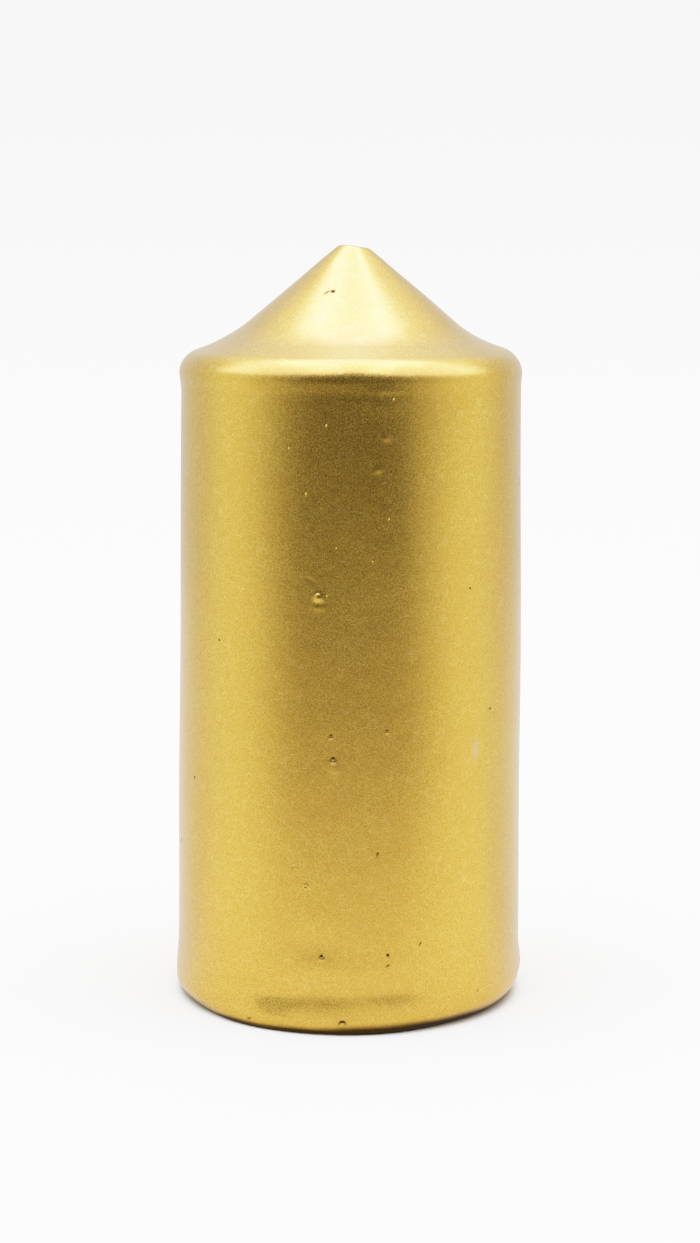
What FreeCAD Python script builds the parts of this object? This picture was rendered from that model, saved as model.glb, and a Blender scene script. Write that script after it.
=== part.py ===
"""Pillar candle with a conical top: a cast wax body, a dipped wax coat, a metallic lacquer film, a braided wick
and the metal clip that holds the wick's foot.

Millimetres. The origin is the centre of the foot, on the surface that the candle stands on, and +Z is up.
Every layer is a body of revolution about Z. The layers are cut flat at the foot and by one leaning plane at the
tip, where the wick ends under the lacquer.
"""

import math
import os

import FreeCAD
import Part

# Driving dimensions of the finished outside.
HEIGHT = 150.0  # foot to the highest point of the tip
CONE_SLOPE = 40.0  # degrees from horizontal
CONE_FOOT_R = 23.0  # where the cone turns into the flatter shoulder
SHOULDER_SLOPE = 23.0  # degrees from horizontal
WALL_TOP_R = 33.55  # the wall has a casting draft, so it is wider at its foot
WALL_FOOT_R = 34.65
TIP_R = 2.5  # half width of the flat that closes the cone
TIP_LEAN = 9.0  # degrees, lower towards +X

# The dip leaves a fat edge at the shoulder and at the foot.
SHOULDER_BEAD = 0.22
SHOULDER_BEAD_SPAN = 2.4
FOOT_BEAD = 0.5
FOOT_BEAD_TOP = 8.0
FOOT_BEAD_SPAN = 4.0
FOOT_PLANED = 0.2  # melted away on a hot plate, so that the candle stands flat

# Rounding of the outside.
CONE_HOLLOW_R = 24.0
SHOULDER_R = 4.6
BEAD_EASE_R = 15.0
FOOT_R = 3.4

# Layers.
LACQUER = 0.15
LACQUER_EDGE = 0.2  # the lacquer is wiped off the rim of the foot, so the candle stands on wax
DIP = 1.8
CORE_FOOT_CHAMFER = 3.0

# Wick and clip.
WICK_R = 2.0
CLIP_R = 12.0
CLIP_SHEET = 0.4
CLIP_RAISED = 0.3  # the clip's underside above the foot
CLIP_RIDGE_IN_R = 6.0
CLIP_RIDGE_OUT_R = 9.0
CLIP_RIDGE_RISE = 0.5
CLIP_NECK_H = 8.0

ABOVE = 20.0  # margin of a cutting solid


def slope(degrees):
    return math.tan(math.radians(degrees))


def point(r, z):
    return FreeCAD.Vector(r, 0, z)


def outer_corners():
    """(radius, height, rounding) of each corner of the outside, from the tip's axis down to the foot's axis."""
    tip_top = HEIGHT + TIP_R * slope(CONE_SLOPE)
    cone_foot = HEIGHT - (CONE_FOOT_R - TIP_R) * slope(CONE_SLOPE)
    bead_rate = SHOULDER_BEAD / SHOULDER_BEAD_SPAN
    arc_drop = SHOULDER_R / math.tan(math.radians(90 + SHOULDER_SLOPE) / 2)
    bead_end = arc_drop + SHOULDER_BEAD_SPAN
    shoulder_r = WALL_TOP_R + bead_rate * bead_end
    shoulder = cone_foot - (shoulder_r - CONE_FOOT_R) * slope(SHOULDER_SLOPE)
    foot_rate = FOOT_BEAD / FOOT_BEAD_SPAN
    foot_r = WALL_FOOT_R + foot_rate * (FOOT_BEAD_TOP + FOOT_PLANED)
    return [
        (0.0, tip_top, 0.0),
        (CONE_FOOT_R, cone_foot, CONE_HOLLOW_R),
        (shoulder_r, shoulder, SHOULDER_R),
        (WALL_TOP_R, shoulder - bead_end, BEAD_EASE_R),
        (WALL_FOOT_R, FOOT_BEAD_TOP, BEAD_EASE_R),
        (foot_r, -FOOT_PLANED, FOOT_R),
        (0.0, -FOOT_PLANED, 0.0),
    ]


def crossing(first, second):
    """Where two lines meet, each given as (unit normal r, unit normal z, distance along the normal)."""
    (ar, az, ad), (br, bz, bd) = first, second
    det = ar * bz - az * br
    return (ad * bz - az * bd) / det, (ar * bd - ad * br) / det


def inset(corners, depth):
    """The same outline moved inwards by depth: convex rounding shrinks and hollow rounding grows."""
    lines = []
    for (r0, z0, _), (r1, z1, _) in zip(corners, corners[1:]):
        length = math.hypot(r1 - r0, z1 - z0)
        out_r, out_z = (z0 - z1) / length, (r1 - r0) / length
        lines.append((out_r, out_z, out_r * r0 + out_z * z0 - depth))
    moved = [(0.0, lines[0][2] / lines[0][1], 0.0)]
    for before, after, (_, _, rounding) in zip(lines, lines[1:], corners[1:]):
        turn = before[0] * after[1] - before[1] * after[0]
        change = depth if turn > 0 else -depth
        moved.append((*crossing(before, after), max(rounding + change, 0.0)))
    moved.append((0.0, lines[-1][2] / lines[-1][1], 0.0))
    return moved


def rounded_wire(corners):
    """A closed wire through the corners, with an arc at each corner that has a rounding, closed along the axis."""
    edges = []
    here = point(corners[0][0], corners[0][1])
    for before, corner, after in zip(corners, corners[1:], corners[2:]):
        at = point(corner[0], corner[1])
        back = (point(before[0], before[1]) - at).normalize()
        ahead = (point(after[0], after[1]) - at).normalize()
        half = back.getAngle(ahead) / 2
        start = stop = at
        if corner[2] > 0:
            reach = corner[2] / math.tan(half)
            start = at + back * reach
            stop = at + ahead * reach
        edges.append(Part.LineSegment(here, start).toShape())
        if corner[2] > 0:
            middle_way = (back + ahead).normalize()
            middle = at + middle_way * (corner[2] / math.sin(half) - corner[2])
            edges.append(Part.Arc(start, middle, stop).toShape())
        here = stop
    last = point(corners[-1][0], corners[-1][1])
    edges.append(Part.LineSegment(here, last).toShape())
    edges.append(Part.LineSegment(last, point(corners[0][0], corners[0][1])).toShape())
    return Part.Wire(edges)


def turned(corners):
    """The solid of revolution of an outline about Z."""
    face = Part.Face(rounded_wire(corners))
    return face.revolve(FreeCAD.Vector(0, 0, 0), FreeCAD.Vector(0, 0, 1), 360)


def below_tip_plane(depth):
    """A large block under the leaning plane that ends the tip, moved down by depth."""
    side = 4 * WALL_FOOT_R
    block = Part.makeBox(side, side, HEIGHT + ABOVE, FreeCAD.Vector(-side / 2, -side / 2, -HEIGHT - ABOVE))
    block.rotate(FreeCAD.Vector(0, 0, 0), FreeCAD.Vector(0, 1, 0), TIP_LEAN)
    block.translate(FreeCAD.Vector(0, 0, HEIGHT - TIP_R * slope(TIP_LEAN) - depth))
    return block


def above(height):
    """A large block that stands on the level plane at a height."""
    side = 4 * WALL_FOOT_R
    return Part.makeBox(side, side, HEIGHT + ABOVE, FreeCAD.Vector(-side / 2, -side / 2, height))


def body_at(depth):
    """The candle's shape at a depth below its outside, planed at the foot and cut at the tip."""
    solid = turned(inset(outer_corners(), depth))
    return solid.common(above(0)).common(below_tip_plane(depth))


def core_body():
    """The cast body before dipping: the outline under both coats, chamfered at the foot."""
    corners = inset(outer_corners(), LACQUER + DIP)
    wall_foot, foot = corners[-3], corners[-2]
    share = (wall_foot[1] - CORE_FOOT_CHAMFER) / (wall_foot[1] - foot[1])
    chamfer_r = wall_foot[0] + (foot[0] - wall_foot[0]) * share
    corners[-2:] = [
        (chamfer_r, CORE_FOOT_CHAMFER, 0.0),
        (chamfer_r - CORE_FOOT_CHAMFER, 0.0, 0.0),
        (0.0, 0.0, 0.0),
    ]
    return turned(corners).common(below_tip_plane(LACQUER + DIP))


def clip_outline():
    """The clip's section: a flat disc with a pressed ridge, drawn up into a neck round the wick."""
    low, top = CLIP_RAISED, CLIP_RAISED + CLIP_SHEET
    neck_r = WICK_R + CLIP_SHEET
    ridge_mid = (CLIP_RIDGE_IN_R + CLIP_RIDGE_OUT_R) / 2
    return [
        (WICK_R, low),
        (CLIP_RIDGE_IN_R, low),
        (ridge_mid, low + CLIP_RIDGE_RISE),
        (CLIP_RIDGE_OUT_R, low),
        (CLIP_R, low),
        (CLIP_R, top),
        (CLIP_RIDGE_OUT_R, top),
        (ridge_mid, top + CLIP_RIDGE_RISE),
        (CLIP_RIDGE_IN_R, top),
        (neck_r, top),
        (neck_r, low + CLIP_NECK_H),
        (WICK_R, low + CLIP_NECK_H),
    ]


def turned_ring(outline):
    """The solid of revolution of a closed outline that stays clear of the axis."""
    points = [point(r, z) for r, z in outline]
    face = Part.Face(Part.makePolygon([*points, points[0]]))
    return face.revolve(FreeCAD.Vector(0, 0, 0), FreeCAD.Vector(0, 0, 1), 360)


def lacquer_coat():
    return body_at(0).cut(body_at(LACQUER)).common(above(LACQUER_EDGE))


def wick_space():
    """The straight hole that the wick fills, from the clip's underside to the lacquer at the tip."""
    hole = Part.makeCylinder(WICK_R, HEIGHT, FreeCAD.Vector(0, 0, CLIP_RAISED))
    return hole.common(below_tip_plane(LACQUER))


def dip_coat():
    return body_at(LACQUER).cut(core_body()).cut(wick_space())


def clip_space():
    """What the clip takes out of the foot: its own sheet and everything under it."""
    corners = clip_outline()
    under = [(0.0, 0.0), (CLIP_R, 0.0), *corners[4:], (0.0, CLIP_RAISED + CLIP_NECK_H)]
    points = [point(r, z) for r, z in under]
    face = Part.Face(Part.makePolygon([*points, points[0]]))
    return face.revolve(FreeCAD.Vector(0, 0, 0), FreeCAD.Vector(0, 0, 1), 360)


def wax_core():
    return core_body().cut(clip_space()).cut(wick_space())


def wick_clip():
    return turned_ring(clip_outline())


NODES = {
    "lacquer_coat": lacquer_coat,
    "dip_coat": dip_coat,
    "wax_core": wax_core,
    "wick": wick_space,
    "wick_clip": wick_clip,
}


def main():
    os.makedirs("parts", exist_ok=True)
    for name, make in NODES.items():
        shape = make()
        solids = shape.Solids
        if len(solids) != 1 or not solids[0].isValid():
            raise ValueError(f"{name} came out as {len(solids)} solids")
        solids[0].exportStep(f"parts/{name}.step")
        box = solids[0].optimalBoundingBox(True, False)
        print(f"{name}: volume {solids[0].Volume / 1000:.2f} cm3, z {box.ZMin:.2f} to {box.ZMax:.2f}")


main()
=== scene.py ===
"""Looks of the gold pillar candle: the lacquered skin with the marks of casting and dipping, the dipped wax
under it, the braided wick, and a plain white studio.

Lengths are in millimetres until a mesh is written, in metres. Azimuth is measured round the candle from the
front (-Y) towards the right (+X), in degrees where a mark is described and in radians elsewhere. Run is the
distance along the outline from the tip's axis, down the cone and the wall, to the foot.
"""

import math

import bmesh
import bpy
import numpy as np
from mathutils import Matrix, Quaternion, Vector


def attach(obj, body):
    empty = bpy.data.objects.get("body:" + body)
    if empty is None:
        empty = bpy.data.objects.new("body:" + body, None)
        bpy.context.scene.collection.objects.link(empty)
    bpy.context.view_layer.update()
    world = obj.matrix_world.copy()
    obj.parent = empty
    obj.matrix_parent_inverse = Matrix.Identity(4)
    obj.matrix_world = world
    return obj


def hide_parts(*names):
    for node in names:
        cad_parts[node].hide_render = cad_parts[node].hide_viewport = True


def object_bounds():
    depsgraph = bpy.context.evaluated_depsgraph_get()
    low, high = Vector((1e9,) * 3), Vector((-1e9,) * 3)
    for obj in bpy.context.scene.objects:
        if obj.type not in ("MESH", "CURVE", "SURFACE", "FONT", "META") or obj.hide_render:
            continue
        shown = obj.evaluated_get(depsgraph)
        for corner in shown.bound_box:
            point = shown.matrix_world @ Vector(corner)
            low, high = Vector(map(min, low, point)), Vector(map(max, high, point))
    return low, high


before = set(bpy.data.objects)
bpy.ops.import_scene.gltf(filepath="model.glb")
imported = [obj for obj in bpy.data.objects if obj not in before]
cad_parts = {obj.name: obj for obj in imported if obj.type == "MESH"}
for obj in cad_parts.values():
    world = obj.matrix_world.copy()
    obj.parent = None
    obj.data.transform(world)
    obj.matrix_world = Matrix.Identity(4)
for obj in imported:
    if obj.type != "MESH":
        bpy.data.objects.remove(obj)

cad_low, cad_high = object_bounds()
MM = 0.001
HEIGHT = cad_high.z / MM

# Outline, as on the CAD part.
CONE_SLOPE = 40.0
CONE_FOOT_R = 23.0
CONE_HOLLOW_R = 24.0
SHOULDER_SLOPE = 23.0
SHOULDER_R = 4.6
SHOULDER_BEAD_SPAN = 2.4
SHOULDER_Z = 128.0  # about where the wall turns into the shoulder
BEAD_SWAY_Z = 121.8  # the middle of the stretch where the shoulder's bead is fatter and thinner
BEAD_SWAY_SPAN = 2.6
TIP_R = 2.5
TIP_TOP = HEIGHT - 0.02  # just under the CAD part's top
TIP_STEP = 0.36
TIP_BLUNT = 0.14
WALL_TOP_R = 33.55
WALL_FOOT_R = 34.65
BEAD_EASE_R = 15.0
FOOT_BEAD_TOP = 8.0
FOOT_BEAD_SPAN = 4.0
FOOT_PLANED = 0.2
FOOT_R = 3.4
CAD_BEADS = (0.22, 0.5)  # at the shoulder and the foot
BEADS = (0.16, 0.16)  # lower, because their height varies round the candle
LACQUER = 0.15
LACQUER_EDGE = 0.2
DIP = 1.8
CORE_FOOT_CHAMFER = 3.0
WICK_R = 2.0
CLEAR = 0.02  # between two pieces that touch
MARK_DEPTH = 0.12  # of a pinhole, less than the lacquer
SHADE_REACH = 1.45  # half width of a mark's painted shade against its own
SHADED_RIM = 1.35  # height of the painted shade at the foot
TURNED_UNDER = 1.85  # what is added to it where the foot is turned under

# Mesh density.
COLUMNS = 228
FIRST_RUN = 0.35  # of the first row, round the tip's axis
WALL_ROW = 1.0
ROUND_ROW = 0.45
ROUND_MARGIN = 1.0  # close rows go on for this far past a rounding
CLOSE_AT_TIP = 7.0
CLOSE_AT_FOOT = 11.0
FOOT_STRETCH = 9.0  # of the run above the foot, whose rows FootEdge moves
INNER_SKIP = 4
DIP_COLUMNS = 128
STRAND_SIDES = 8

# How the faces near small marks are halved again and again: the widest mark's half width, the distance from
# the mark as a share of its size, and what is added to it.
HALVINGS = (
    (1.2, 2.4, 0.42),
    (0.75, 1.9, 0.21),
    (0.4, 1.9, 0.14),
    (0.3, 1.9, 0.105),
)

# Braid.
WICK_FOOT = 0.3
WICK_TOP_CLEAR = 1.4
BRAID_PITCH = 14.0
BRAID_ROW = 0.55
BRAID_R = 1.36
BRAID_WEAVE = 0.3
STRAND_HALF_WIDTH = 0.52
STRAND_HALF_HEIGHT = 0.27
CORE_YARN_R = 0.75

# Marks that a random choice places.
FRONT = 72.0  # degrees to either side of the front, within which each mark is listed one by one
SEAM_CLEAR = 6.0  # degrees to either side of the back that stay free, because the mesh's columns meet there
PINHOLES_AROUND = 22
SPECKS_AROUND = 16
BUMPS_AROUND = 5
WAVES = 16
CALM_AT_TIP = 12.0  # the long waves grow to their full height over this much of the top
CALM_AT_FOOT = (9.0, 2.0)  # and die away between these distances from the foot
rng = np.random.default_rng(11)


# ---------------------------------------------------------------- outline


def slope(degrees):
    return math.tan(math.radians(degrees))


def outline_corners(shoulder_bead, foot_bead):
    """(radius, height, rounding) of each corner of the outline, from the cone's point to the foot's axis."""
    cone_foot = HEIGHT - (CONE_FOOT_R - TIP_R) * slope(CONE_SLOPE)
    bead_rate = shoulder_bead / SHOULDER_BEAD_SPAN
    bead_end = SHOULDER_R / math.tan(math.radians(90 + SHOULDER_SLOPE) / 2) + SHOULDER_BEAD_SPAN
    shoulder_r = WALL_TOP_R + bead_rate * bead_end
    shoulder = cone_foot - (shoulder_r - CONE_FOOT_R) * slope(SHOULDER_SLOPE)
    foot_r = WALL_FOOT_R + foot_bead / FOOT_BEAD_SPAN * (FOOT_BEAD_TOP + FOOT_PLANED)
    return [
        (0.0, HEIGHT + TIP_R * slope(CONE_SLOPE), 0.0),
        (CONE_FOOT_R, cone_foot, CONE_HOLLOW_R),
        (shoulder_r, shoulder, SHOULDER_R),
        (WALL_TOP_R, shoulder - bead_end, BEAD_EASE_R),
        (WALL_FOOT_R, FOOT_BEAD_TOP, BEAD_EASE_R),
        (foot_r, -FOOT_PLANED, FOOT_R),
        (0.0, -FOOT_PLANED, 0.0),
    ]


def rounded(corners, step=0.02):
    """Points every step along the outline, and the numbers of the first and last point of each arc."""
    points, arcs = [np.array(corners[0][:2])], []

    def straight_to(end):
        start = points[-1]
        count = max(int(np.linalg.norm(end - start) / step), 1)
        points.extend(start + (end - start) * k / count for k in range(1, count + 1))

    for before, corner, after in zip(corners, corners[1:], corners[2:]):
        at = np.array(corner[:2])
        back = np.array(before[:2]) - at
        ahead = np.array(after[:2]) - at
        back, ahead = back / np.linalg.norm(back), ahead / np.linalg.norm(ahead)
        half = math.acos(float(np.clip(back @ ahead, -1, 1))) / 2
        middle = (back + ahead) / np.linalg.norm(back + ahead)
        reach = corner[2] / math.tan(half)
        centre = at + middle * corner[2] / math.sin(half)
        straight_to(at + back * reach)
        first = len(points) - 1
        from_centre, to_centre = points[-1] - centre, at + ahead * reach - centre
        sweep = math.pi - 2 * half
        count = max(int(sweep * corner[2] / step), 1)
        for k in range(1, count + 1):
            share = k / count * sweep
            weight = [math.sin(sweep - share) / math.sin(sweep), math.sin(share) / math.sin(sweep)]
            points.append(centre + from_centre * weight[0] + to_centre * weight[1])
        arcs.append((first, len(points) - 1))
    straight_to(np.array(corners[-1][:2]))
    return np.array(points), arcs


class Outline:
    """The candle's outline by its run: radius, height and outward normal."""

    def __init__(self, beads):
        points, arcs = rounded(outline_corners(*beads))
        self.run = np.concatenate([[0], np.cumsum(np.linalg.norm(np.diff(points, axis=0), axis=1))])
        self.r, self.z = points[:, 0], points[:, 1]
        along = np.gradient(points, self.run, axis=0)
        self.nr, self.nz = -along[:, 1], along[:, 0]
        self.arcs = [(self.run[a], self.run[b]) for a, b in arcs]

    def at(self, run):
        return tuple(np.interp(run, self.run, v) for v in (self.r, self.z, self.nr, self.nz))

    def run_at_radius(self, r):
        """The run at a radius on the cone or the shoulder."""
        top = self.z > SHOULDER_Z
        return float(np.interp(r, self.r[top], self.run[top]))

    def run_at_height(self, z):
        """The run at a height on the wall or the foot's rounding."""
        wall = self.z < HEIGHT - TIP_R
        return float(np.interp(-z, -self.z[wall], self.run[wall]))


outline = Outline(BEADS)
cad_outline = Outline(CAD_BEADS)
FOOT_RUN = outline.run_at_height(0.0)
BEAD_SWAY_RUN = outline.run_at_height(BEAD_SWAY_Z)


# ---------------------------------------------------------------- marks in the surface


def mound(azimuth, z, across, along, rise, turn=0.0):
    """A smooth bump, or a hollow where rise is below 0. Across, along and rise are in mm, turn in degrees.

    On the cone and the shoulder, z is the run instead of the height.
    """
    return {"kind": "mound", "place": (azimuth, z), "size": (across, along), "rise": rise, "turn": turn}


def ring(azimuth, z, radius, width, rise, open_side=None):
    """A raised or sunk ring, with a gap on one side where open_side gives its direction in degrees."""
    return {"kind": "ring", "place": (azimuth, z), "size": (radius, width), "rise": rise, "open": open_side}


def pinhole(azimuth, z, radius, lip=0.0):
    """A popped air bubble: a round hole with painted shade in it, whose lower lip stands a little proud."""
    hole = mound(azimuth, z, radius, radius, -MARK_DEPTH)
    hole["painted_shade"] = 1.0
    if not lip:
        return [hole]
    return [hole, mound(azimuth, z - 2.4 * radius, 1.7 * radius, 1.3 * radius, lip)]


def crater(azimuth, z, radius, width):
    """The rim of a burst bubble, open at its lower side, with painted shade in it."""
    mark = ring(azimuth, z, radius, width, -MARK_DEPTH, open_side=-90)
    mark["painted_shade"] = 1.2
    return mark


def nick(azimuth, z, half_length, half_width, turn):
    """A short scratch in the lacquer, with painted shade in it."""
    mark = mound(azimuth, z, half_length, half_width, -0.7 * MARK_DEPTH, turn)
    mark["painted_shade"] = 0.8
    return mark


def speck(azimuth, z, radius):
    """A grain of dust under the lacquer."""
    return [mound(azimuth, z, 0.85 * radius, 0.85 * radius, 0.8 * radius)]


def wall_marks():
    """What casting, dipping and handling left on the wall's front, from the top down."""
    marks = [
        mound(11.0, 123.6, 2.6, 0.9, 0.07),
        mound(11.3, 115.0, 0.8, 0.7, 0.11),
        mound(8.8, 109.0, 0.9, 0.6, 0.08, 20),
        mound(-12.8, 88.2, 1.0, 0.45, -0.035, -35),
        mound(-10.2, 84.9, 0.82, 0.66, 0.29),
        mound(-10.2, 85.5, 0.32, 0.22, 0.09),
        mound(-10.0, 83.0, 1.2, 0.6, 0.05),
        mound(-5.1, 52.6, 0.9, 1.4, 0.07, 25),
        ring(-13.7, 29.3, 0.38, 0.16, 0.06),
        mound(-18.0, 33.0, 0.4, 0.2, -0.05, 40),
        mound(45.3, 54.0, 0.9, 1.6, -0.05, -15),
        mound(45.4, 51.2, 1.5, 1.2, 0.05),
        nick(12.7, 13.9, 0.35, 0.14, 30),
        nick(23.6, 17.7, 0.35, 0.13, 60),
        mound(63.9, 35.3, 0.12, 0.5, -0.09),
        crater(-1.7, 2.4, 0.66, 0.24),
        nick(-33.3, 1.9, 0.4, 0.14, 20),
        mound(14.7, 1.9, 0.4, 0.15, -0.07, -60),
        nick(47.0, 6.0, 0.22, 0.14, 60),
    ]
    marks += pinhole(-5.1, 54.4, 0.29, lip=0.12)
    marks += pinhole(-5.8, 58.8, 0.22, lip=0.06)
    marks += pinhole(11.9, 59.7, 0.20, lip=0.05)
    marks += pinhole(-8.5, 15.8, 0.28, lip=0.11)
    marks += pinhole(12.7, 16.0, 0.24)
    marks += pinhole(52.8, 61.6, 0.22)
    marks += pinhole(-62.3, 46.6, 0.22)
    marks += pinhole(-47.5, 75.1, 0.18)
    marks += pinhole(42.4, 85.7, 0.18)
    marks += pinhole(9.2, 36.0, 0.18)
    marks += speck(13.5, 122.1, 0.15)
    marks += speck(-14.3, 104.4, 0.14)
    marks += speck(-20.1, 112.8, 0.12)
    marks += speck(-7.9, 117.1, 0.12)
    marks += speck(-4.5, 94.4, 0.12)
    marks += speck(7.0, 91.9, 0.12)
    marks += speck(12.1, 99.8, 0.14)
    marks += speck(-7.4, 85.3, 0.10)
    return marks


def foot_marks():
    """The foot as it sagged on a hot plate: dented in front, fuller low down, turned under at the right."""
    return [
        mound(-25.0, 7.3, 4.8, 2.7, -0.64, 10),
        mound(-6.0, 8.3, 7.0, 2.9, -0.36),
        mound(15.0, 8.8, 6.5, 2.6, -0.30, -4),
        mound(-11.0, 17.8, 5.0, 3.0, -0.20),
        mound(0.0, 12.2, 9.0, 2.4, 0.10),
        mound(-34.0, 0.5, 11.0, 1.6, 0.60),
        mound(-2.0, 0.3, 17.0, 1.6, 0.80),
        mound(38.0, 0.9, 11.0, 2.3, -0.62),
        mound(72.0, 0.8, 10.0, 2.2, -0.75),
        mound(-66.0, 0.8, 9.0, 2.0, -0.25),
        mound(92.0, 2.4, 9.0, 1.1, -0.27),
        mound(92.0, 5.2, 8.0, 1.1, 0.26),
        mound(92.0, 7.0, 8.0, 1.9, 0.37),
        mound(90.0, 72.0, 15.0, 34.0, 0.24),
        mound(-90.0, 5.6, 16.0, 4.2, 0.22),
        mound(150.0, 1.2, 14.0, 2.2, -0.60),
        mound(-140.0, 4.0, 12.0, 2.2, 0.22),
    ]


def top_marks():
    """What keeps the cone and the shoulder from being quite round."""
    on = outline.run_at_radius
    return [
        mound(-90.0, on(28.2), 16.0, 3.0, -0.28),
        mound(-90.0, on(31.8), 15.0, 2.4, -0.10),
        mound(-88.0, on(33.2) + 3.4, 15.0, 2.2, 0.24),
        mound(90.0, on(30.3), 9.0, 1.6, 0.22),
        mound(90.0, on(14.0), 14.0, 9.0, 0.16),
        mound(90.0, on(5.5), 4.0, 3.0, 0.10),
        mound(-60.0, on(6.0), 4.0, 4.0, 0.12),
        mound(170.0, on(20.0), 14.0, 7.0, -0.2),
    ]


def cone_marks():
    """A pinhole and a nick on the cone's front."""
    marks = pinhole(-16.6, outline.run_at_radius(12.8), 0.37)
    marks += [nick(-21.8, outline.run_at_radius(13.1), 0.6, 0.21, 52)]
    return marks


def scattered_marks():
    """Pinholes, specks and bumps on the sides and the back, about as many to the area as in front."""
    marks = []
    for _ in range(PINHOLES_AROUND):
        azimuth, z = rng.uniform(FRONT, 360 - FRONT), rng.uniform(9, 122)
        if abs(azimuth - 180) > SEAM_CLEAR:
            marks += pinhole(azimuth, z, rng.uniform(0.15, 0.28), lip=rng.choice([0.0, 0.04, 0.08]))
    for _ in range(SPECKS_AROUND):
        azimuth, z = rng.uniform(FRONT, 360 - FRONT), rng.uniform(9, 124)
        if abs(azimuth - 180) > SEAM_CLEAR:
            marks += speck(azimuth, z, rng.uniform(0.11, 0.16))
    for _ in range(BUMPS_AROUND):
        azimuth, z = rng.uniform(FRONT + 8, 352 - FRONT), rng.uniform(20, 115)
        if abs(azimuth - 180) > 2 * SEAM_CLEAR:
            across, along, rise = rng.uniform(0.6, 1.1), rng.uniform(0.5, 0.9), rng.uniform(0.06, 0.2)
            marks.append(mound(azimuth, z, across, along, rise))
    return marks


def placed(marks, on_top=False):
    """The marks with their azimuth in radians, their run and the outline's radius there."""
    for mark in marks:
        azimuth, z = mark["place"]
        mark["azimuth"] = math.radians((azimuth + 180) % 360 - 180)
        mark["run"] = z if on_top else outline.run_at_height(z)
        mark["r"] = float(outline.at(mark["run"])[0])
    return marks


BROAD = placed(foot_marks()) + placed(top_marks(), on_top=True)
FINE = placed(wall_marks() + scattered_marks()) + placed(cone_marks(), on_top=True)
RUBBED = placed([mound(45.3, 54.2, 0.7, 1.9, 0.0)])[0]
FINE_REACH = 3.2  # how many times its size a mark is felt


def local(mark, azimuth, run):
    """Distances right of and below the mark's centre, over the surface."""
    turn = (azimuth - mark["azimuth"] + math.pi) % (2 * math.pi) - math.pi
    return turn * mark["r"], run - mark["run"]


def turned_local(mark, azimuth, run):
    """Distances along a mark's two half axes, as shares of them."""
    right, down = local(mark, azimuth, run)
    c, s = math.cos(math.radians(mark["turn"])), math.sin(math.radians(mark["turn"]))
    return (right * c - down * s) / mark["size"][0], (right * s + down * c) / mark["size"][1]


def lift(mark, azimuth, run):
    """How far a mark raises the surface."""
    right, down = local(mark, azimuth, run)
    if mark["kind"] == "mound":
        u, v = turned_local(mark, azimuth, run)
        return mark["rise"] * np.exp(-(u * u + v * v))
    radius, width = mark["size"]
    height = mark["rise"] * np.exp(-(((np.hypot(right, down) - radius) / width) ** 2))
    if mark["open"] is not None:
        facing = np.arctan2(-down, right) - math.radians(mark["open"])
        height = height * (0.5 - 0.5 * np.cos(facing)) ** 1.6
    return height


SWAYS = [
    (int(turns), float(per_mm), float(phase), float(height))
    for turns, per_mm, phase, height in zip(
        rng.integers(1, 9, WAVES),
        rng.uniform(-0.22, 0.22, WAVES),
        rng.uniform(0, 2 * math.pi, WAVES),
        rng.uniform(0.010, 0.026, WAVES),
    )
]


def sway(azimuth, run):
    """The long, low waves that a dipped wall has."""
    total = np.zeros_like(run)
    for turns, per_mm, phase, height in SWAYS:
        total = total + height * np.sin(turns * azimuth + per_mm * run + phase)
    return total


def bead_sway(azimuth, run):
    """The shoulder's bead, fatter here and thinner there."""
    rise = 0.05 * np.sin(2 * azimuth + 0.6) + 0.05 * np.sin(5 * azimuth + 2.0) + 0.03 * np.sin(9 * azimuth)
    return rise * np.exp(-(((run - BEAD_SWAY_RUN) / BEAD_SWAY_SPAN) ** 2))


def smooth_step(low, high, value):
    t = np.clip((value - low) / (high - low), 0, 1)
    return t * t * (3 - 2 * t)


def tip_top(x, y):
    """The lacquered end of the wick: level at the left, with a step down to the right."""
    drop = TIP_STEP * smooth_step(-0.5, 1.7, x) + 0.12 * np.clip(x - 1.5, 0, None)
    return TIP_TOP - drop - 0.03 * np.clip(y, 0, None) - 0.02 * np.clip(-1.5 - x, 0, None)


def surface(azimuth, run, depth=0.0):
    """The candle's surface at a depth under its outside: the outline with its marks, cut off at the tip."""
    r, z, nr, nz = outline.at(run)
    calmed = smooth_step(FOOT_RUN - CALM_AT_FOOT[0], FOOT_RUN - CALM_AT_FOOT[1], run)
    swaying = smooth_step(0, CALM_AT_TIP, run) * (1 - calmed)
    rise = sway(azimuth, run) * swaying + bead_sway(azimuth, run)
    for mark in BROAD:
        rise = rise + lift(mark, azimuth, run)
    if depth < LACQUER:
        for mark in FINE:
            near = np.abs(run - mark["run"]) < FINE_REACH * max(mark["size"]) + 0.5
            rise[near] += lift(mark, azimuth[near], run[near])
    r, z = np.maximum(r + nr * (rise - depth), 0), z + nz * (rise - depth)
    x, y = r * np.sin(azimuth), -r * np.cos(azimuth)
    top = tip_top(x, y) - depth
    z = (z + top - np.sqrt((z - top) ** 2 + TIP_BLUNT**2)) / 2
    return np.stack([x, y, z], axis=-1)


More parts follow.
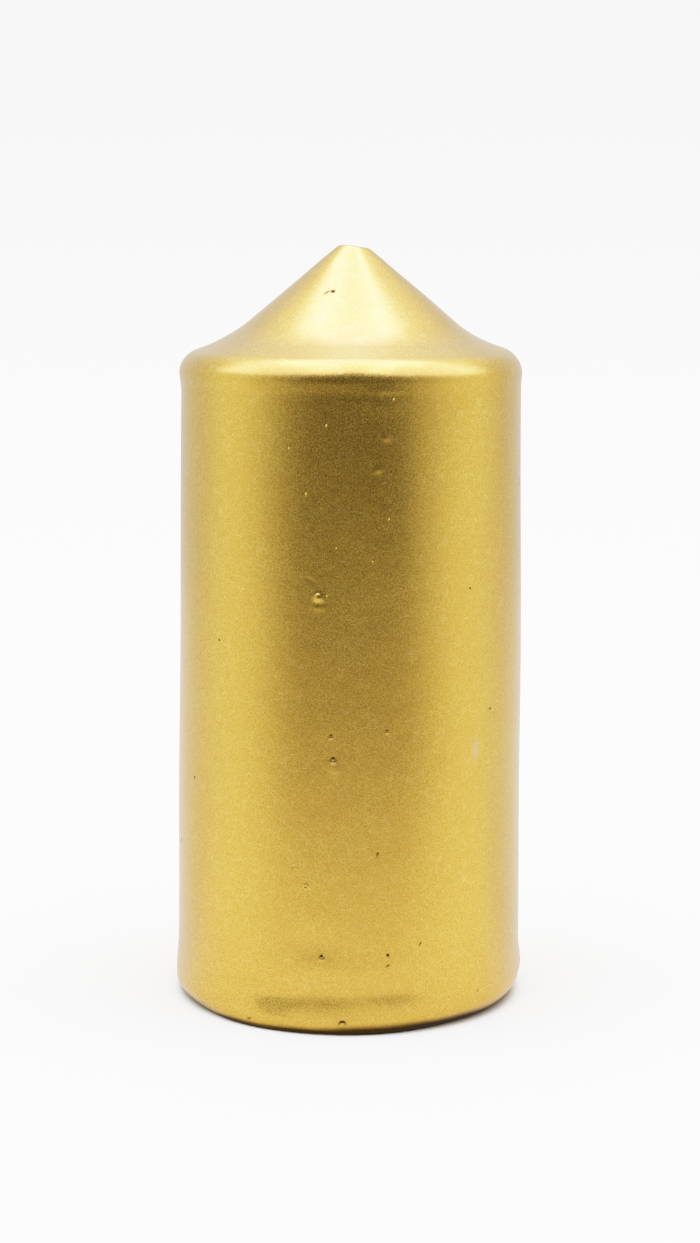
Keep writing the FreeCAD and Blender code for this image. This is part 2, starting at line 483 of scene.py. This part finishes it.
def painted_shade(azimuth, run, z):
    """How much painted shade the skin gets, from 0 to 1: in the pinholes and nicks, and low on the foot."""
    total = np.zeros_like(run)
    # Painted shade in the pinholes, craters and nicks, as in sunk holes.
    for mark in FINE:
        if not mark.get("painted_shade"):
            continue
        if mark["kind"] == "mound":
            u, v = turned_local(mark, azimuth, run)
            total = total + mark["painted_shade"] * np.exp(-((np.hypot(u, v) / SHADE_REACH) ** 4))
        else:
            total = total + mark["painted_shade"] * lift(mark, azimuth, run) / mark["rise"]
    # Painted shade low on the foot, for the shadowed floor its underside reflects; taller to the right,
    # where the foot is turned under.
    to_the_right = np.exp(-(((azimuth - math.radians(22)) / math.radians(46)) ** 2))
    uneven = 0.15 * np.sin(7 * azimuth) + 0.1 * np.sin(17 * azimuth + 1)
    rim = SHADED_RIM + TURNED_UNDER * to_the_right + uneven
    total = total + 0.97 * (1 - smooth_step(0.4, 0.88, z / rim))
    return np.clip(total, 0, 1)


def rub(azimuth, run):
    """How much the lacquer is rubbed pale, from 0 to 1: in one spot at the right."""
    u, v = turned_local(RUBBED, azimuth, run)
    return np.exp(-(u * u + v * v))


# ---------------------------------------------------------------- meshes


def row_runs(first):
    """The runs of the mesh's rows: close together on the roundings, further apart on the straights."""
    runs, here = [], first
    while here < FOOT_RUN - 0.1:
        runs.append(here)
        on_arc = any(a - ROUND_MARGIN < here < b + ROUND_MARGIN for a, b in outline.arcs)
        at_end = here < CLOSE_AT_TIP or here > FOOT_RUN - CLOSE_AT_FOOT
        here += ROUND_ROW if on_arc or at_end else WALL_ROW
    return [*runs, FOOT_RUN]


class FootEdge:
    """Where a skin reaches a level near the floor, all round. Its lowest rows are moved to end there."""

    def __init__(self, depth, level):
        self.azimuths = np.linspace(-math.pi, math.pi, 361)
        runs = np.arange(FOOT_RUN - 6, FOOT_RUN + 12, 0.05)
        self.runs = []
        for azimuth in self.azimuths:
            z = surface(np.full_like(runs, azimuth), runs, depth)[:, 2]
            self.runs.append(runs[np.argmax(z < level)])

    def end(self, azimuth):
        return np.interp(azimuth, self.azimuths, self.runs)

    def stretched(self, azimuth, run):
        start = FOOT_RUN - FOOT_STRETCH
        share = np.clip((run - start) / (FOOT_RUN - start), 0, 1)
        return np.where(run > start, start + (self.end(azimuth) - start) * share, run)


def grid(bm, azimuths, runs, side):
    """A sheet of quads whose vertices hold (azimuth, run, side) as their place."""
    rows = [[bm.verts.new((a, s, side)) for a in azimuths] for s in runs]
    for upper, lower in zip(rows, rows[1:]):
        for k in range(len(azimuths)):
            n = (k + 1) % len(azimuths)
            quad = [upper[k], lower[k], lower[n], upper[n]]
            bm.faces.new(quad if side == 0 else quad[::-1])
    return rows


def refine(bm, marks):
    """Splits the outer faces round each small mark until they are small against it."""
    for widest, share, more in HALVINGS:
        small = [mark for mark in marks if min(mark["size"]) <= widest]
        chosen = set()
        for face in bm.faces:
            centre = face.calc_center_median()
            width = max(v.co.x for v in face.verts) - min(v.co.x for v in face.verts)
            if centre.z != 0 or width > 1:  # on the inner face, on the rim, or across the seam
                continue
            for mark in small:
                right = (centre.x - mark["azimuth"]) * mark["r"]
                down = centre.y - mark["run"]
                if math.hypot(right, down) < share * max(mark["size"]) + more:
                    chosen.update(face.edges)
                    break
        bmesh.ops.subdivide_edges(bm, edges=list(chosen), cuts=1, use_grid_fill=True)


def normals_of(azimuth, run):
    """The surface's outward normals, from its slopes."""
    small = 0.02
    across = small / np.maximum(outline.at(run)[0], 1.0)
    right = surface(azimuth + across, run) - surface(azimuth - across, run)
    down = surface(azimuth, run + small) - surface(azimuth, run - small)
    normal = np.cross(down, right)
    return normal / np.maximum(np.linalg.norm(normal, axis=1, keepdims=True), 1e-12)


def new_object(name, mesh, material, node):
    """Adds a piece that stands for a CAD node."""
    piece = bpy.data.objects.new(name, mesh)
    bpy.context.scene.collection.objects.link(piece)
    mesh.materials.append(material)
    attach(piece, "root")
    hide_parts(node)


def lacquer_sheets():
    """The film laid out by (azimuth, run, side): an outer face, an inner face and a rim above the foot."""
    bm = bmesh.new()
    azimuths = [-math.pi + 2 * math.pi * k / COLUMNS for k in range(COLUMNS)]
    runs = row_runs(FIRST_RUN)
    outer = grid(bm, azimuths, runs, 0)
    inner = grid(bm, azimuths, [*runs[:-1:INNER_SKIP], runs[-1]], 1)
    for rows, side in ((outer, 0), (inner, 1)):
        pole = bm.verts.new((0, 0, side))
        for k in range(COLUMNS):
            fan = [pole, rows[0][k], rows[0][(k + 1) % COLUMNS]]
            bm.faces.new(fan if side == 0 else fan[::-1])
    for k in range(COLUMNS):
        n = (k + 1) % COLUMNS
        bm.faces.new([outer[-1][k], inner[-1][k], inner[-1][n], outer[-1][n]])
    refine(bm, FINE)
    return bm


def lacquer_mesh():
    """The lacquer film, a closed skin. Its vertices also hold how much painted shade they get and how rubbed
    they are.
    """
    bm = lacquer_sheets()
    place = np.array([v.co[:] for v in bm.verts])
    azimuth, inside = place[:, 0], place[:, 2] > 0.5
    run = FootEdge(0.0, LACQUER_EDGE).stretched(azimuth, place[:, 1])
    spot = np.where(inside[:, None], surface(azimuth, run, LACQUER), surface(azimuth, run))
    spot[:, 2] = np.maximum(spot[:, 2], LACQUER_EDGE)
    for vert, at in zip(bm.verts, spot * MM):
        vert.co = at
    mesh = bpy.data.meshes.new("lacquer_skin")
    bm.to_mesh(mesh)
    bm.free()
    normal = normals_of(azimuth, run)
    normal[run == 0] = (0, 0, 1)
    normal[inside] *= -1
    finish_mesh(mesh, normal)
    # Per vertex: the share of painted shade, and how much the lacquer is rubbed pale.
    for name, values in (("painted_shade", painted_shade(azimuth, run, spot[:, 2])), ("rub", rub(azimuth, run))):
        layer = mesh.attributes.new(name, "FLOAT", "POINT")
        layer.data.foreach_set("value", values.astype(np.float32))
    return mesh


def finish_mesh(mesh, normal=None):
    mesh.polygons.foreach_set("use_smooth", [True] * len(mesh.polygons))
    if normal is not None:
        mesh.normals_split_custom_set_from_vertices([tuple(n) for n in normal])
    mesh.update()


def dip_mesh():
    """The dipped wax: a closed coat under the lacquer, open at the wick and at the core's foot."""
    azimuths = np.linspace(-math.pi, math.pi, DIP_COLUMNS, endpoint=False)
    outer = [*row_runs(WICK_R + 1.0)[::2], FOOT_RUN]
    edge = FootEdge(LACQUER + CLEAR, 0.0)
    rows = [wick_wall(azimuths, LACQUER + CLEAR)]
    for run in outer:
        stretched = edge.stretched(azimuths, np.full_like(azimuths, run))
        rows.append(surface(azimuths, stretched, LACQUER + CLEAR))
    for row in rows:
        row[:, 2] = np.maximum(row[:, 2], 0)
    rows[-1][:, 2] = 0
    core_r = float(np.hypot(*inner_spot(azimuths[:1], cad_outline.run_at_height(CORE_FOOT_CHAMFER))[0, :2]))
    rows.append(circle(azimuths, core_r - CORE_FOOT_CHAMFER, 0.0))
    for run in outer[::-1][1:]:
        spot = inner_spot(azimuths, run)
        if spot[0, 2] > CORE_FOOT_CHAMFER:
            rows.append(spot)
    rows.append(wick_wall(azimuths, LACQUER + DIP))
    return ring_mesh("dipped_wax", rows)


def circle(azimuths, radius, height):
    x, y = radius * np.sin(azimuths), -radius * np.cos(azimuths)
    return np.stack([x, y, np.full_like(azimuths, height)], axis=-1)


def inner_spot(azimuths, run):
    """The face that lies on the core, at a run of the CAD outline."""
    r, z, nr, nz = cad_outline.at(run)
    depth = LACQUER + DIP - CLEAR
    return circle(azimuths, r - nr * depth, z - nz * depth)


def wick_wall(azimuths, depth):
    """The rim of the wick's hole at a depth under the outside."""
    rim = circle(azimuths, WICK_R + CLEAR, 0.0)
    cone = HEIGHT + (TIP_R - WICK_R) * slope(CONE_SLOPE) - depth / math.cos(math.radians(CONE_SLOPE))
    rim[:, 2] = np.minimum(cone, tip_top(rim[:, 0], rim[:, 1]) - depth)
    return rim


def ring_mesh(name, rows):
    """A closed mesh from loops of points that follow each other round a ring."""
    count = len(rows[0])
    points = np.concatenate(rows) * MM
    faces = []
    for upper in range(len(rows)):
        lower = (upper + 1) % len(rows)
        for k in range(count):
            n = (k + 1) % count
            faces.append((upper * count + k, lower * count + k, lower * count + n, upper * count + n))
    mesh = bpy.data.meshes.new(name)
    mesh.from_pydata(points.tolist(), [], faces)
    finish_mesh(mesh)
    return mesh


def strand(path, half_width, half_height):
    """The rows of points of a flattened tube along a path, with its height away from the wick's axis."""
    rows = []
    for k, at in enumerate(path):
        ahead = path[min(k + 1, len(path) - 1)] - path[max(k - 1, 0)]
        ahead = ahead / np.linalg.norm(ahead)
        outward = np.array([at[0], at[1], 0.0])
        size = np.linalg.norm(outward)
        outward = outward / size if size > 0.01 else np.array([1.0, 0.0, 0.0])
        sideways = np.cross(ahead, outward)
        sideways /= np.linalg.norm(sideways)
        turn = np.linspace(0, 2 * math.pi, STRAND_SIDES, endpoint=False)
        wide = np.outer(np.cos(turn) * half_width, sideways)
        high = np.outer(np.sin(turn) * half_height, outward)
        rows.append(at + wide + high)
    return rows


def wick_mesh():
    """Eight flat strands braided round a straight one, cut off under the lacquer."""
    heights = np.arange(WICK_FOOT, HEIGHT - WICK_TOP_CLEAR, BRAID_ROW)
    rate = 2 * math.pi / BRAID_PITCH
    straight = np.stack([0 * heights, 0 * heights, heights], axis=-1)
    strands = [strand(straight, CORE_YARN_R, CORE_YARN_R)]
    for k in range(4):
        for way in (1, -1):
            turn = k * math.pi / 2 + way * rate * heights
            radius = BRAID_R + way * BRAID_WEAVE * np.cos(4 * rate * heights)
            path = np.stack([radius * np.sin(turn), -radius * np.cos(turn), heights], axis=-1)
            strands.append(strand(path, STRAND_HALF_WIDTH, STRAND_HALF_HEIGHT))
    bm = bmesh.new()
    for rows in strands:
        loops = [[bm.verts.new(v * MM) for v in row] for row in rows]
        for lower, upper in zip(loops, loops[1:]):
            for m in range(STRAND_SIDES):
                n = (m + 1) % STRAND_SIDES
                bm.faces.new((lower[m], lower[n], upper[n], upper[m]))
        bm.faces.new(loops[0][::-1])
        bm.faces.new(loops[-1])
    bmesh.ops.recalc_face_normals(bm, faces=bm.faces)
    mesh = bpy.data.meshes.new("wick_braid")
    bm.to_mesh(mesh)
    bm.free()
    finish_mesh(mesh)
    return mesh


# ---------------------------------------------------------------- materials


class Nodes:
    """Short ways to build a node tree."""

    def __init__(self, tree):
        self.tree = tree
        tree.nodes.clear()

    def add(self, kind, inputs=None, **settings):
        node = self.tree.nodes.new(kind)
        for name, value in settings.items():
            setattr(node, name, value)
        for name, value in (inputs or {}).items():
            self.plug(value, node.inputs[name])
        return node

    def plug(self, value, socket):
        if isinstance(value, bpy.types.NodeSocket):
            self.tree.links.new(value, socket)
        else:
            socket.default_value = value

    def math(self, operation, *values):
        node = self.add("ShaderNodeMath", operation=operation)
        for value, socket in zip(values, node.inputs):
            self.plug(value, socket)
        return node.outputs[0]

    def ramp(self, value, low, high, out_low=0.0, out_high=1.0):
        """Smooth step from out_low to out_high while value goes from low to high."""
        node = self.add("ShaderNodeMapRange", interpolation_type="SMOOTHSTEP")
        for socket, setting in zip(node.inputs, (value, low, high, out_low, out_high)):
            self.plug(setting, socket)
        return node.outputs[0]

    def noise(self, vector, scale, detail=2.0, roughness=0.5):
        inputs = {"Vector": vector, "Scale": scale, "Detail": detail, "Roughness": roughness}
        return self.add("ShaderNodeTexNoise", inputs).outputs["Fac"]

    def mix_colour(self, share, first, second, blend="MIX"):
        """Sockets 6 and 7 are the two colours, and 2 is the mixed one."""
        node = self.add("ShaderNodeMix", data_type="RGBA", blend_type=blend)
        self.plug(share, node.inputs["Factor"])
        self.plug(first, node.inputs[6])
        self.plug(second, node.inputs[7])
        return node.outputs[2]

    def mix_shader(self, share, first, second):
        return self.add("ShaderNodeMixShader", {0: share, 1: first, 2: second}).outputs[0]

    def moved(self, vector, way):
        return self.add("ShaderNodeVectorMath", {0: vector, 1: way}, operation="ADD").outputs[0]

    def scaled(self, vector, factor):
        return self.add("ShaderNodeVectorMath", {0: vector, "Scale": factor}, operation="SCALE").outputs[0]

    def length(self, vector):
        return self.add("ShaderNodeVectorMath", {0: vector}, operation="LENGTH").outputs["Value"]

    def millimetres(self):
        """The object's own coordinates, in mm."""
        place = self.add("ShaderNodeTexCoord").outputs["Object"]
        return self.scaled(place, 1 / MM)

    def bump(self, height, distance, normal=None):
        """Height is from 0 to 1 and distance is what 1 stands for, in mm."""
        node = self.add("ShaderNodeBump", {"Height": height, "Distance": distance * MM, "Strength": 1.0})
        if normal is not None:
            self.plug(normal, node.inputs["Normal"])
        return node.outputs["Normal"]


def new_material(name):
    material = bpy.data.materials.new(name)
    material.use_nodes = True
    return material, Nodes(material.node_tree)


def surface_of(nodes, **inputs):
    """Ends the tree with a Principled shader. Its inputs are named with _ in place of a space."""
    shader = nodes.add("ShaderNodeBsdfPrincipled")
    for name, value in inputs.items():
        nodes.plug(value, shader.inputs[name.replace("_", " ")])
    nodes.add("ShaderNodeOutputMaterial", {"Surface": shader.outputs[0]})


def hairlines(nodes, place, scale, seed, width):
    """Short fine curved scratches: the borders of warped cells, shown only in patches. Width is in mm."""
    start = nodes.moved(place, (seed, 2 * seed, -seed))
    warp = nodes.add("ShaderNodeTexNoise", {"Vector": start, "Scale": scale, "Detail": 0.0})
    bent = nodes.moved(start, nodes.scaled(warp.outputs["Color"], 1.6 / scale))
    cells = nodes.add("ShaderNodeTexVoronoi", {"Vector": bent, "Scale": scale}, feature="DISTANCE_TO_EDGE")
    line = nodes.ramp(cells.outputs["Distance"], 0.0, width * scale, 1.0, 0.0)
    patch = nodes.ramp(nodes.noise(start, 1.7 * scale, 0.0), 0.52, 0.6)
    return nodes.math("MULTIPLY", line, patch)


def gold_lacquer():
    """Metallic gold lacquer: fine flakes under thin resin, with orange peel and hairlines, and painted shade
    in its marks and low on the foot.
    """
    material, nodes = new_material("gold_lacquer")
    place = nodes.millimetres()
    flakes = nodes.noise(place, 3.5, 1.0, 0.6)
    clouds = nodes.noise(place, 0.09, 2.0, 0.5)
    ripple = nodes.noise(place, 0.16, 1.0, 0.4)
    peel = nodes.noise(place, 0.55, 1.0, 0.4)
    grain = nodes.noise(place, 2.0, 1.5, 0.55)
    long_hairs = hairlines(nodes, place, 0.22, 3.0, 0.16)
    short_hairs = hairlines(nodes, place, 0.4, 17.0, 0.13)
    scratch = nodes.math("MAXIMUM", long_hairs, short_hairs)
    shade_share = nodes.add("ShaderNodeAttribute", attribute_name="painted_shade").outputs["Fac"]
    rubbed = nodes.add("ShaderNodeAttribute", attribute_name="rub").outputs["Fac"]
    glint = nodes.ramp(flakes, 0.3, 0.7)
    colour = nodes.mix_colour(glint, (0.42, 0.246, 0.030, 1), (0.61, 0.364, 0.053, 1))
    colour = nodes.mix_colour(nodes.ramp(clouds, 0.35, 0.7, 0.0, 0.35), colour, (0.50, 0.272, 0.036, 1))
    colour = nodes.mix_colour(nodes.math("MULTIPLY", scratch, 0.45), colour, (0.66, 0.42, 0.09, 1))
    colour = nodes.mix_colour(nodes.math("MULTIPLY", rubbed, 0.5), colour, (0.55, 0.44, 0.24, 1))
    # Painted shade: near black where the painted shade attribute is high.
    colour = nodes.mix_colour(shade_share, colour, (0.014, 0.008, 0.002, 1))
    rough = nodes.ramp(flakes, 0.2, 0.8, 0.25, 0.31)
    rough = nodes.math("ADD", rough, nodes.math("MULTIPLY", nodes.math("MAXIMUM", shade_share, rubbed), 0.25))
    normal = nodes.bump(ripple, 0.06)
    normal = nodes.bump(peel, 0.014, normal)
    normal = nodes.bump(grain, 0.005, normal)
    normal = nodes.bump(scratch, 0.004, normal)
    up = nodes.add("ShaderNodeSeparateXYZ", {0: place}).outputs[2]
    resin = nodes.ramp(up, SHOULDER_Z - 3, SHOULDER_Z + 6, 0.02, 0.085)
    resin = nodes.math("MULTIPLY", resin, nodes.math("SUBTRACT", 1.0, shade_share))
    surface_of(nodes, Base_Color=colour, Metallic=1.0, Roughness=rough, Normal=normal,
               Coat_Weight=resin, Coat_Roughness=0.2, Coat_IOR=1.8)
    return material


def wax(name, pale, deep):
    """Cast wax: slightly see-through, with cloudy colour, a frosted bloom and a faintly rippled surface."""
    material, nodes = new_material(name)
    place = nodes.millimetres()
    clouds = nodes.noise(place, 0.12, 3.0, 0.55)
    bloom = nodes.noise(place, 0.8, 4.0, 0.65)
    colour = nodes.mix_colour(nodes.ramp(clouds, 0.3, 0.7), pale, deep)
    colour = nodes.mix_colour(nodes.ramp(bloom, 0.55, 0.8, 0.0, 0.25), colour, (0.92, 0.88, 0.78, 1))
    normal = nodes.bump(nodes.noise(place, 0.5, 2.0), 0.03)
    normal = nodes.bump(nodes.noise(place, 4.0, 2.0), 0.004, normal)
    surface_of(nodes, Base_Color=colour, Roughness=nodes.ramp(bloom, 0.3, 0.8, 0.42, 0.62), Normal=normal,
               Subsurface_Weight=0.25, Subsurface_Radius=(1.0, 0.6, 0.3), Subsurface_Scale=2 * MM)
    return material


def wick_cotton():
    """Waxed cotton yarn, with fine fibres along each strand."""
    material, nodes = new_material("wick_cotton")
    place = nodes.millimetres()
    stretched = nodes.add("ShaderNodeMapping", {"Vector": place, "Scale": (9.0, 9.0, 1.2)}).outputs[0]
    fibres = nodes.noise(stretched, 1.0, 3.0, 0.6)
    soaked = nodes.noise(place, 0.35, 2.0)
    colour = nodes.mix_colour(nodes.ramp(fibres, 0.3, 0.7), (0.60, 0.54, 0.42, 1), (0.82, 0.78, 0.66, 1))
    colour = nodes.mix_colour(nodes.ramp(soaked, 0.45, 0.7, 0.0, 0.5), colour, (0.70, 0.58, 0.34, 1))
    surface_of(nodes, Base_Color=colour, Roughness=nodes.ramp(soaked, 0.4, 0.7, 0.85, 0.5),
               Normal=nodes.bump(fibres, 0.03))
    return material


def tinplate():
    """Pressed tinplate: bright, with fine turning lines and a few dull stains."""
    material, nodes = new_material("tinplate")
    place = nodes.millimetres()
    lines = nodes.math("SINE", nodes.math("MULTIPLY", nodes.length(place), 34.0))
    stains = nodes.noise(place, 0.4, 3.0, 0.6)
    colour = nodes.mix_colour(nodes.ramp(stains, 0.5, 0.75), (0.68, 0.67, 0.64, 1), (0.46, 0.43, 0.38, 1))
    surface_of(nodes, Base_Color=colour, Metallic=1.0, Roughness=nodes.ramp(stains, 0.4, 0.8, 0.26, 0.5),
               Normal=nodes.bump(nodes.math("MULTIPLY_ADD", lines, 0.5, 0.5), 0.002))
    return material


# ---------------------------------------------------------------- pieces


def make_pieces():
    new_object("lacquer_skin", lacquer_mesh(), gold_lacquer(), "lacquer_coat")
    dip = wax("dip_wax", (0.86, 0.80, 0.64, 1), (0.80, 0.72, 0.52, 1))
    new_object("dipped_wax", dip_mesh(), dip, "dip_coat")
    new_object("wick_braid", wick_mesh(), wick_cotton(), "wick")
    core = wax("core_wax", (0.78, 0.70, 0.50, 1), (0.70, 0.60, 0.38, 1))
    for node, material in (("wax_core", core), ("wick_clip", tinplate())):
        piece = bpy.data.objects[node]
        piece.data.materials.clear()
        piece.data.materials.append(material)


make_pieces()


# ---------------------------------------------------------------- studio

CAMERA_BACK = 516.3
CAMERA_UP = 156.6
CAMERA_DOWN = 8.958  # degrees
CAMERA_ROLL = 0.33  # degrees
LENS = 75.5

# The room's light, by direction.
OVERHEAD_STRIPS = 12.3
OVERHEAD_BETWEEN = 8.0  # in the gap between the two strips
OVERHEAD_FRONT = 0.66  # the share of it that is left over the camera
OVERHEAD_ENDS = 0.56  # and at its two ends
OVERHEAD_TINT = (1.0, 1.03, 1.8, 1.0)
WHITE = (1.0, 1.0, 1.0, 1.0)
SIDES = 2.45
BACK = 1.6
UPPER_BACK = 3.45
DARK_FRONT = 0.16
BACKDROP_LOW = 3.5
BACKDROP_HIGH = 2.55

# The floor. In reflections it has another tint and is partly clear, as if cards hid some of its glow there:
# more of it far from the candle, and more behind the candle.
FLOOR_REACH = 700.0
FLOOR_FADE_START = 300.0
FLOOR_PAINT = (0.735, 0.717, 0.446, 1.0)
FLOOR_REFLECTED = (0.91, 0.855, 0.87, 1.0)
CARDS_START = -60.0
CARDS_END = 360.0
CARDS_SHARE = 0.72
CARDS_BEHIND = 0.65
UNDER_FOOT = (0.32, 0.20, 0.06, 1.0)  # shade and gold glow on the floor close to the foot
UNDER_FOOT_FULL = 31.0  # from the axis
UNDER_FOOT_END = 36.0

TONE_WHITE = 6.0
TONE_POINTS = 14
TONE_SPREAD = 1.8  # more of the points in the dark tones


def make_camera():
    """A portrait view from the front, from a little above the candle's top and tilted down."""
    data = bpy.data.cameras.new("camera")
    data.lens = LENS
    data.sensor_width = 36.0
    camera = bpy.data.objects.new("camera", data)
    bpy.context.scene.collection.objects.link(camera)
    camera.location = (0, -CAMERA_BACK * MM, CAMERA_UP * MM)
    camera.rotation_mode = "QUATERNION"
    pitch = Quaternion((1, 0, 0), math.radians(90 - CAMERA_DOWN))
    camera.rotation_quaternion = pitch @ Quaternion((0, 0, 1), math.radians(CAMERA_ROLL))
    bpy.context.scene.camera = camera


def wall_light(nodes, aside, back, up):
    """How bright the walls are: dark in front, brighter at the sides, brightest high up at the back."""
    from_front = nodes.math("ARCTAN2", aside, nodes.math("MULTIPLY", back, -1.0))
    wall = nodes.ramp(from_front, math.radians(92), math.radians(122), SIDES, BACK)
    wall = nodes.ramp(from_front, math.radians(28), math.radians(86), DARK_FRONT, wall)
    back_wall = nodes.ramp(up, 0.4, 0.9, wall, UPPER_BACK)
    return nodes.ramp(back, 0.02, 0.25, wall, back_wall)


def overhead_light(nodes, aside, back):
    """How bright the overhead light is: dimmer between its strips, over the camera and at its ends."""
    strips = nodes.ramp(aside, 0.10, 0.22, OVERHEAD_BETWEEN, OVERHEAD_STRIPS)
    strips = nodes.math("MULTIPLY", strips, nodes.ramp(back, -0.5, 0.1, OVERHEAD_FRONT, 1.0))
    return nodes.math("MULTIPLY", strips, nodes.ramp(aside, 0.33, 0.42, 1.0, OVERHEAD_ENDS))


def overhead_place(nodes, aside, back, up):
    """Where the overhead light is. At the sides it comes further down and reaches less far back."""
    front_edge = nodes.math("MULTIPLY_ADD", aside, 0.45, up)
    back_edge = nodes.math("ADD", back, nodes.ramp(aside, 0.0, 0.4, 0.0, 0.3))
    back_edge = nodes.math("ADD", back_edge, nodes.ramp(aside, 0.45, 0.8, 0.0, 0.12))
    return nodes.math("MULTIPLY", nodes.ramp(front_edge, 0.66, 0.79), nodes.ramp(back_edge, 0.72, 0.48))


def background(nodes, colour, strength):
    return nodes.add("ShaderNodeBackground", {"Color": colour, "Strength": strength}).outputs[0]


def make_world():
    """A white room: a large soft light overhead, white sides and back, and a dark front round the camera.

    The camera itself sees a plain white backdrop.
    """
    world = bpy.data.worlds.new("studio")
    bpy.context.scene.world = world
    world.use_nodes = True
    nodes = Nodes(world.node_tree)
    way = nodes.add("ShaderNodeTexCoord").outputs["Generated"]
    split = nodes.add("ShaderNodeSeparateXYZ", {0: way}).outputs
    aside, back, up = nodes.math("ABSOLUTE", split[0]), split[1], split[2]
    walls = background(nodes, WHITE, wall_light(nodes, aside, back, up))
    lamp = background(nodes, OVERHEAD_TINT, overhead_light(nodes, aside, back))
    lit = nodes.mix_shader(overhead_place(nodes, aside, back, up), walls, lamp)
    backdrop = background(nodes, WHITE, nodes.ramp(up, -0.2, 0.1, BACKDROP_LOW, BACKDROP_HIGH))
    seen = nodes.add("ShaderNodeLightPath").outputs["Is Camera Ray"]
    nodes.add("ShaderNodeOutputWorld", {"Surface": nodes.mix_shader(seen, lit, backdrop)})


def floor_material():
    """White table that fades into the backdrop, so that no edge or horizon shows."""
    material, nodes = new_material("floor_white")
    place = nodes.millimetres()
    back = nodes.add("ShaderNodeSeparateXYZ", {0: place}).outputs[1]
    away = nodes.length(place)
    seen = nodes.add("ShaderNodeLightPath").outputs["Is Camera Ray"]
    around = nodes.ramp(away, CARDS_START, CARDS_END, 0.0, CARDS_SHARE)
    behind = nodes.ramp(back, -20.0, 30.0, 0.0, CARDS_BEHIND)
    cards = nodes.math("MULTIPLY", nodes.math("MAXIMUM", around, behind), nodes.math("SUBTRACT", 1.0, seen))
    fade = nodes.math("MAXIMUM", nodes.ramp(away, FLOOR_FADE_START, FLOOR_REACH), cards)
    cloud = nodes.ramp(nodes.noise(place, 0.02, 2.0), 0.3, 0.7)
    paint = nodes.mix_colour(cloud, tuple(0.98 * v for v in FLOOR_PAINT), FLOOR_PAINT)
    reflected = nodes.mix_colour(1.0, paint, FLOOR_REFLECTED, "MULTIPLY")
    paint = nodes.mix_colour(seen, reflected, paint)
    shaded = nodes.mix_colour(1.0, paint, UNDER_FOOT, "MULTIPLY")
    paint = nodes.mix_colour(nodes.ramp(away, UNDER_FOOT_FULL, UNDER_FOOT_END, 1.0, 0.0), paint, shaded)
    matt = nodes.add("ShaderNodeBsdfDiffuse", {"Color": paint}).outputs[0]
    clear = nodes.add("ShaderNodeBsdfTransparent").outputs[0]
    nodes.add("ShaderNodeOutputMaterial", {"Surface": nodes.mix_shader(fade, matt, clear)})
    return material


def make_floor():
    bm = bmesh.new()
    bmesh.ops.create_circle(bm, cap_ends=True, segments=96, radius=FLOOR_REACH * MM)
    mesh = bpy.data.meshes.new("floor")
    bm.to_mesh(mesh)
    bm.free()
    floor = bpy.data.objects.new("floor", mesh)
    bpy.context.scene.collection.objects.link(floor)
    mesh.materials.append(floor_material())


def make_tone():
    """A photographic tone curve: bright parts approach white softly."""
    settings = bpy.context.scene.view_settings
    settings.view_transform = "Standard"
    settings.look = "None"
    settings.use_curve_mapping = True
    curve_map = settings.curve_mapping
    curve_map.white_level = (TONE_WHITE,) * 3
    curve = curve_map.curves[3]
    curve.points[0].location = (0, 0)
    curve.points[1].location = (1, 1 - math.exp(-TONE_WHITE))
    for k in range(1, TONE_POINTS):
        share = (k / TONE_POINTS) ** TONE_SPREAD
        curve.points.new(share, 1 - math.exp(-TONE_WHITE * share))
    curve_map.update()


make_camera()
make_world()
make_floor()
make_tone()
